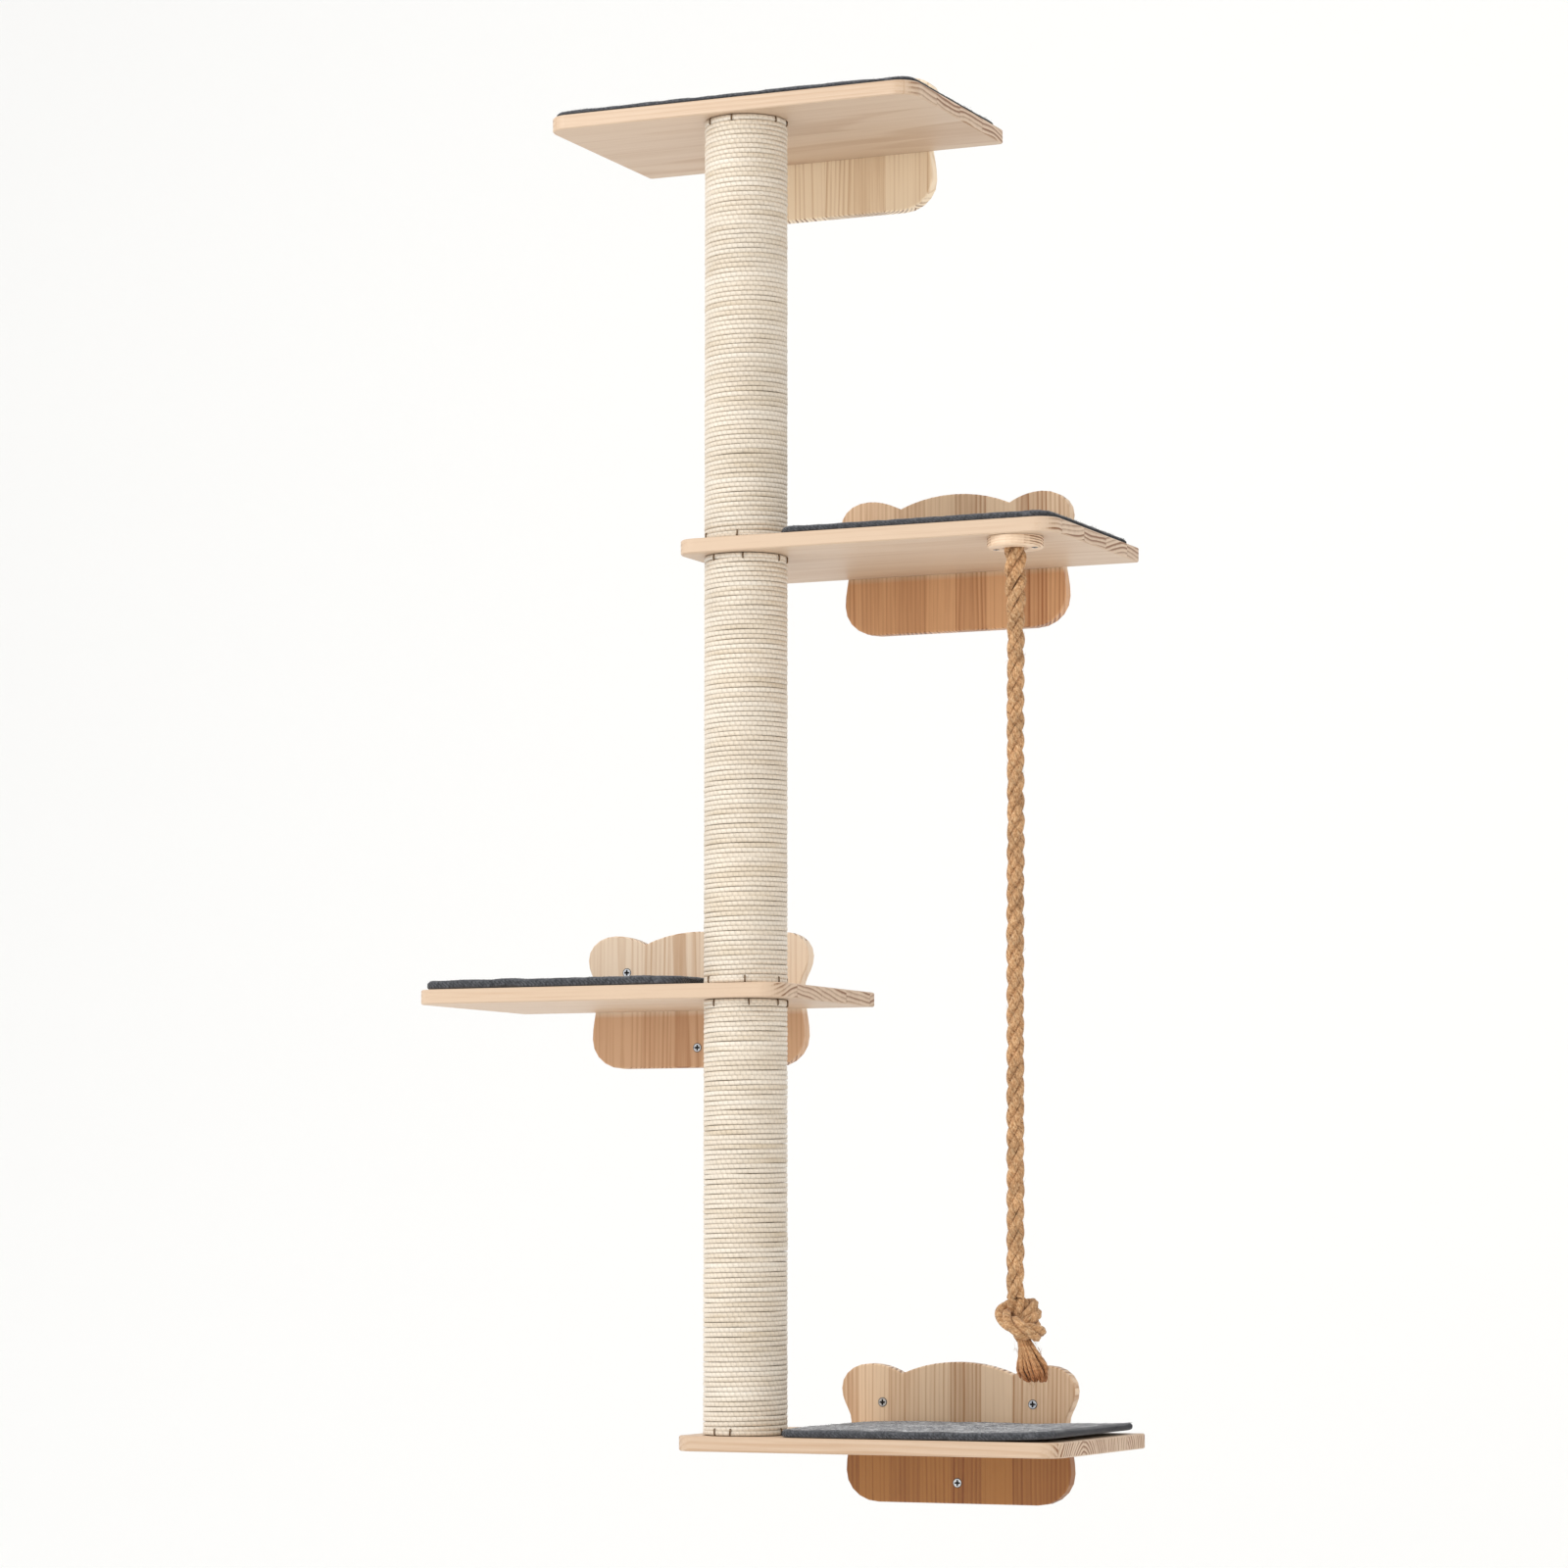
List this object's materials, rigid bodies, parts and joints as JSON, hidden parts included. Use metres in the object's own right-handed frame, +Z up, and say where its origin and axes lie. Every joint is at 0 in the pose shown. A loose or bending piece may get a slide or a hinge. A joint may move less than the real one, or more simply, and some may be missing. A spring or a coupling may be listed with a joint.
{
  "type": "wall-mounted cat tree",
  "caption": "Wall-mounted cat tree: pine shelves with pads on a line of sisal-wound posts, bear-head wall plates, and a hanging jute rope.",
  "frame": {"origin": "on the back face of the lowest wall plate, at its middle, level with the top of the lowest shelf", "axes": "+Z up along the posts, +Y into the wall, +X to the right as seen from the room"},
  "size_m": [0.705, 0.2953, 1.494],
  "materials": {
    "shelf_pine": "satin clear lacquer over pale pine",
    "plate_pine": "satin clear lacquer over darker glued pine strips",
    "plug_pine": "bare sawn wood",
    "core_cardboard": "spiral-wound paperboard",
    "sisal": "wound natural sisal rope",
    "pad_fabric": "charcoal plush with a pale grey heathered top",
    "jute": "three-strand laid jute rope",
    "zinc_steel": "bright zinc plating"
  },
  "bodies": {
    "tree": {"bottom_pad": "pad_fabric", "bottom_post_core": "core_cardboard", "bottom_post_lower_insert": "zinc_steel", "bottom_post_lower_plug": "plug_pine", "bottom_post_sisal": "sisal", "bottom_post_upper_insert": "zinc_steel", "bottom_post_upper_plug": "plug_pine", "bottom_shelf": "shelf_pine", "bottom_shelf_bolt": "zinc_steel", "bottom_shelf_screw_left": "zinc_steel", "bottom_shelf_screw_right": "zinc_steel", "bottom_wall_plate": "plate_pine", "bottom_wall_screw_foot": "zinc_steel", "bottom_wall_screw_left": "zinc_steel", "bottom_wall_screw_right": "zinc_steel", "lower_pad": "pad_fabric", "lower_shelf": "shelf_pine", "lower_shelf_screw_left": "zinc_steel", "lower_shelf_screw_right": "zinc_steel", "lower_shelf_stud": "zinc_steel", "lower_wall_plate": "plate_pine", "lower_wall_screw_foot": "zinc_steel", "lower_wall_screw_left": "zinc_steel", "lower_wall_screw_right": "zinc_steel", "middle_post_core": "core_cardboard", "middle_post_lower_insert": "zinc_steel", "middle_post_lower_plug": "plug_pine", "middle_post_sisal": "sisal", "middle_post_upper_insert": "zinc_steel", "middle_post_upper_plug": "plug_pine", "rope_disc": "shelf_pine", "rope_disc_screw_left": "zinc_steel", "rope_disc_screw_right": "zinc_steel", "top_pad": "pad_fabric", "top_post_core": "core_cardboard", "top_post_lower_insert": "zinc_steel", "top_post_lower_plug": "plug_pine", "top_post_sisal": "sisal", "top_post_upper_insert": "zinc_steel", "top_post_upper_plug": "plug_pine", "top_shelf": "shelf_pine", "top_shelf_bolt": "zinc_steel", "top_shelf_screw_left": "zinc_steel", "top_shelf_screw_right": "zinc_steel", "top_wall_plate": "plate_pine", "top_wall_screw_left": "zinc_steel", "top_wall_screw_right": "zinc_steel", "upper_pad": "pad_fabric", "upper_shelf": "shelf_pine", "upper_shelf_screw_left": "zinc_steel", "upper_shelf_screw_right": "zinc_steel", "upper_shelf_stud": "zinc_steel", "upper_wall_plate": "plate_pine", "upper_wall_screw_left": "zinc_steel", "upper_wall_screw_right": "zinc_steel"},
    "neck": {"rope_neck": "jute"},
    "rope": {"hanging_rope": "jute", "rope_knot": "jute", "rope_tassel": "jute"}
  },
  "joints": [
    {"name": "rope_swing_to_wall", "type": "hinge", "parent": "tree", "child": "neck", "pos_m": [0.154, -0.2343, 0.8737], "axis": [1, 0, 0], "range_deg": [-45, 12]},
    {"name": "rope_swing_sideways", "type": "hinge", "parent": "neck", "child": "rope", "pos_m": [0.154, -0.2343, 0.8337], "axis": [0, 1, 0], "range_deg": [-45, 14]}
  ]
}
